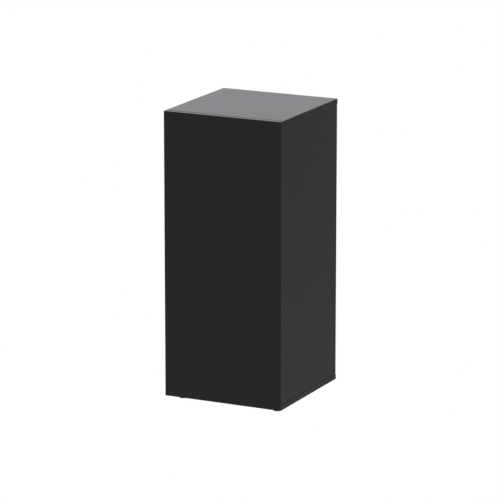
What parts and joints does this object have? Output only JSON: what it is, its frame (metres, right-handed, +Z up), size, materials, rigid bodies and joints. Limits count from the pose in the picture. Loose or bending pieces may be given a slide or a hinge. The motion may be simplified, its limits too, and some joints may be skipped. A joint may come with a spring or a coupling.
{
  "type": "display plinth",
  "caption": "Tall square display plinth in black melamine-faced board, with a pull-off front panel and levelling feet.",
  "frame": {"origin": "on the floor, at the middle of the footprint", "axes": "+Z up, the front panel faces -Y, +X to the right as seen from the front"},
  "size_m": [0.44, 0.45, 1.016],
  "materials": {
    "black_laminate": "black melamine-faced board, fine satin grain",
    "zinc_alloy": "die-cast zinc, dull",
    "zinc_plated_steel": "bright zinc plating",
    "beech": "bare beech",
    "nylon": "natural nylon",
    "foot_plastic": "black moulded plastic, matt"
  },
  "bodies": {
    "carcass": {"top_panel": "black_laminate", "base_panel": "black_laminate", "left_side_panel": "black_laminate", "right_side_panel": "black_laminate", "back_panel": "black_laminate", "cam_top_left_front_disc": "zinc_alloy", "cam_top_left_rear_disc": "zinc_alloy", "cam_top_right_front_disc": "zinc_alloy", "cam_top_right_rear_disc": "zinc_alloy", "cam_base_left_front_disc": "zinc_alloy", "cam_base_left_rear_disc": "zinc_alloy", "cam_base_right_front_disc": "zinc_alloy", "cam_base_right_rear_disc": "zinc_alloy", "cam_top_back_disc": "zinc_alloy", "cam_base_back_disc": "zinc_alloy", "cam_top_left_front_bolt": "zinc_plated_steel", "cam_top_left_rear_bolt": "zinc_plated_steel", "cam_top_right_front_bolt": "zinc_plated_steel", "cam_top_right_rear_bolt": "zinc_plated_steel", "cam_base_left_front_bolt": "zinc_plated_steel", "cam_base_left_rear_bolt": "zinc_plated_steel", "cam_base_right_front_bolt": "zinc_plated_steel", "cam_base_right_rear_bolt": "zinc_plated_steel", "cam_top_back_bolt": "zinc_plated_steel", "cam_base_back_bolt": "zinc_plated_steel", "dowel_top_left": "beech", "dowel_top_right": "beech", "dowel_base_left": "beech", "dowel_base_right": "beech", "dowel_back_left_lower": "beech", "dowel_back_left_upper": "beech", "dowel_back_right_lower": "beech", "dowel_back_right_upper": "beech", "clip_socket_left_lower": "nylon", "clip_socket_left_middle": "nylon", "clip_socket_left_upper": "nylon", "clip_socket_right_lower": "nylon", "clip_socket_right_middle": "nylon", "clip_socket_right_upper": "nylon", "foot_front_left_insert": "zinc_plated_steel", "foot_front_right_insert": "zinc_plated_steel", "foot_rear_left_insert": "zinc_plated_steel", "foot_rear_right_insert": "zinc_plated_steel"},
    "front_panel": {"front_panel": "black_laminate", "clip_stud_left_lower": "nylon", "clip_stud_left_middle": "nylon", "clip_stud_left_upper": "nylon", "clip_stud_right_lower": "nylon", "clip_stud_right_middle": "nylon", "clip_stud_right_upper": "nylon"},
    "foot_front_left_pad": {"foot_front_left_pad": "foot_plastic"},
    "foot_front_left_spindle": {"foot_front_left_spindle": "zinc_plated_steel"},
    "foot_front_right_pad": {"foot_front_right_pad": "foot_plastic"},
    "foot_front_right_spindle": {"foot_front_right_spindle": "zinc_plated_steel"},
    "foot_rear_left_pad": {"foot_rear_left_pad": "foot_plastic"},
    "foot_rear_left_spindle": {"foot_rear_left_spindle": "zinc_plated_steel"},
    "foot_rear_right_pad": {"foot_rear_right_pad": "foot_plastic"},
    "foot_rear_right_spindle": {"foot_rear_right_spindle": "zinc_plated_steel"}
  },
  "joints": [
    {"name": "front_panel_pull", "type": "slide", "parent": "carcass", "child": "front_panel", "axis": [0, -1, 0], "range_m": [0, 0.3]},
    {"name": "foot_front_left_height", "type": "slide", "parent": "carcass", "child": "foot_front_left_pad", "axis": [0, 0, -1], "range_m": [0, 0.0125]},
    {"name": "foot_front_left_turn", "type": "hinge", "parent": "foot_front_left_pad", "child": "foot_front_left_spindle", "pos_m": [-0.18, -0.1667, 0.03], "axis": [0, 0, -1], "range_deg": [0, 3600]},
    {"name": "foot_front_right_height", "type": "slide", "parent": "carcass", "child": "foot_front_right_pad", "axis": [0, 0, -1], "range_m": [0, 0.0125]},
    {"name": "foot_front_right_turn", "type": "hinge", "parent": "foot_front_right_pad", "child": "foot_front_right_spindle", "pos_m": [0.18, -0.1667, 0.03], "axis": [0, 0, -1], "range_deg": [0, 3600]},
    {"name": "foot_rear_left_height", "type": "slide", "parent": "carcass", "child": "foot_rear_left_pad", "axis": [0, 0, -1], "range_m": [0, 0.0125]},
    {"name": "foot_rear_left_turn", "type": "hinge", "parent": "foot_rear_left_pad", "child": "foot_rear_left_spindle", "pos_m": [-0.18, 0.184, 0.03], "axis": [0, 0, -1], "range_deg": [0, 3600]},
    {"name": "foot_rear_right_height", "type": "slide", "parent": "carcass", "child": "foot_rear_right_pad", "axis": [0, 0, -1], "range_m": [0, 0.0125]},
    {"name": "foot_rear_right_turn", "type": "hinge", "parent": "foot_rear_right_pad", "child": "foot_rear_right_spindle", "pos_m": [0.18, 0.184, 0.03], "axis": [0, 0, -1], "range_deg": [0, 3600]}
  ],
  "couplings": [
    {"joint": "foot_front_left_turn", "follows": "foot_front_left_height", "rad_per_m": 5026.5},
    {"joint": "foot_front_right_turn", "follows": "foot_front_right_height", "rad_per_m": 5026.5},
    {"joint": "foot_rear_left_turn", "follows": "foot_rear_left_height", "rad_per_m": 5026.5},
    {"joint": "foot_rear_right_turn", "follows": "foot_rear_right_height", "rad_per_m": 5026.5}
  ]
}
